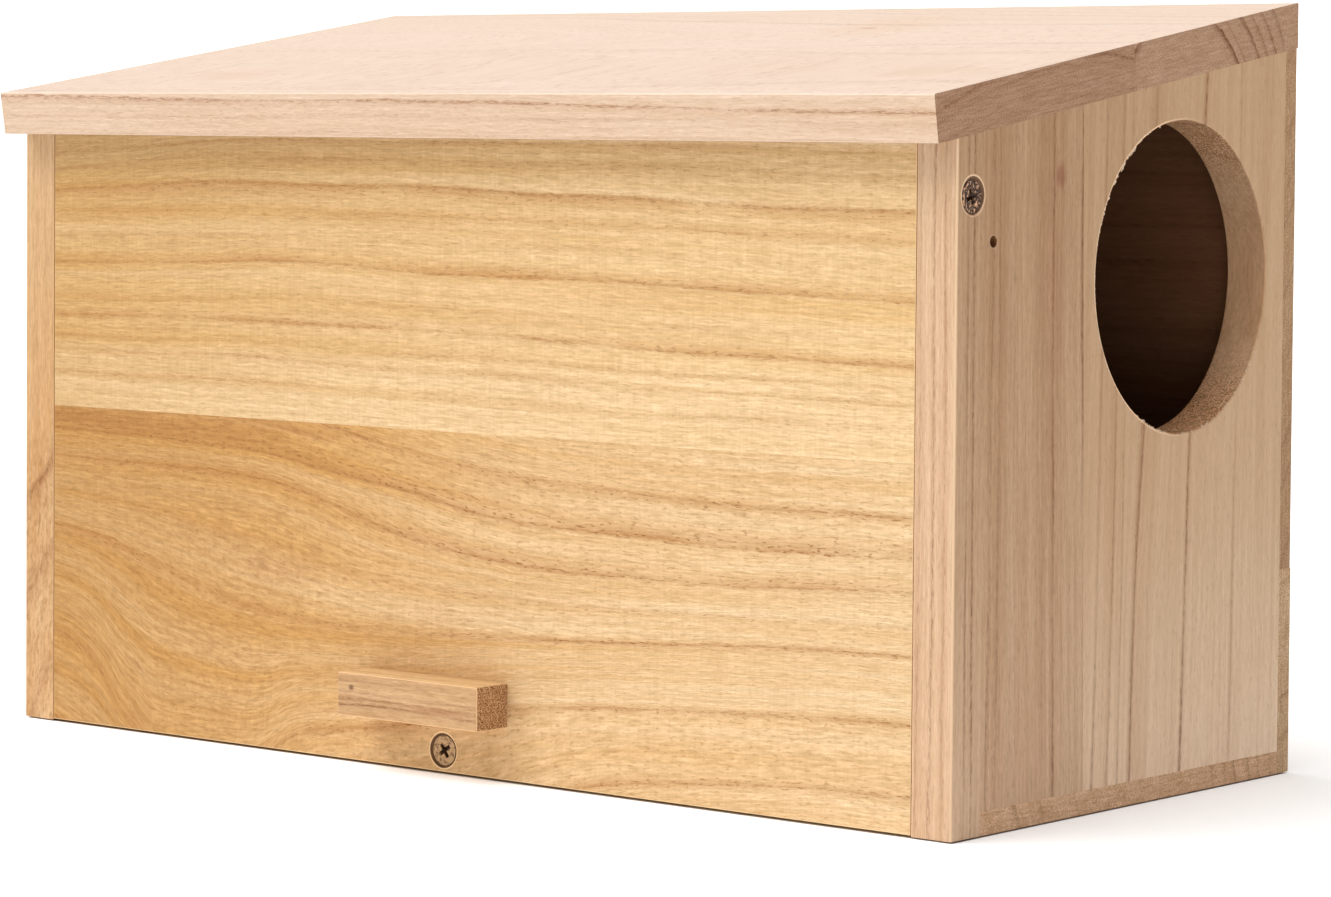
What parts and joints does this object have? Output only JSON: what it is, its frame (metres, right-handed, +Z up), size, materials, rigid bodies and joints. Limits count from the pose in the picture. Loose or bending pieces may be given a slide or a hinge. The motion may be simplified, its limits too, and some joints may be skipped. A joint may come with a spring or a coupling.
{
  "type": "nest box birdhouse",
  "caption": "Wooden nest box with a sloped roof, a round entrance in one end and a front door that swings up on two screws.",
  "frame": {"origin": "middle of the base, on the surface that the box stands on", "axes": "+X towards the end with the entrance hole, +Y from the door to the back, +Z up"},
  "size_m": [0.33, 0.168, 0.2068],
  "materials": {
    "side_wood": "planed, unfinished",
    "base_wood": "planed, unfinished",
    "roof_wood": "planed, unfinished",
    "door_wood": "planed, unfinished",
    "handle_wood": "sawn, unfinished",
    "screw_steel": "dull bronze-toned plating",
    "brad_steel": "bright wire"
  },
  "bodies": {
    "carcass": {"right_side_front_board": "side_wood", "right_side_rear_board": "side_wood", "left_side_front_board": "side_wood", "left_side_rear_board": "side_wood", "floor_front_board": "base_wood", "floor_rear_board": "base_wood", "back_lower_board": "base_wood", "back_upper_board": "base_wood", "roof_front_board": "roof_wood", "roof_rear_board": "roof_wood", "floor_brads": "brad_steel", "back_brads": "brad_steel"},
    "door": {"door_lower_board": "door_wood", "door_upper_board": "door_wood", "door_handle": "handle_wood", "handle_brads": "brad_steel", "pivot_screw_right": "screw_steel", "pivot_screw_left": "screw_steel"},
    "lock": {"lock_screw": "screw_steel"}
  },
  "joints": [
    {"name": "door_swing", "type": "hinge", "parent": "carcass", "child": "door", "pos_m": [0, -0.0715, 0.156], "axis": [-1, 0, 0], "range_deg": [0, 112]},
    {"name": "lock_screw_travel", "type": "slide", "parent": "door", "child": "lock", "axis": [0, -1, 0], "range_m": [0, 0.016]}
  ]
}
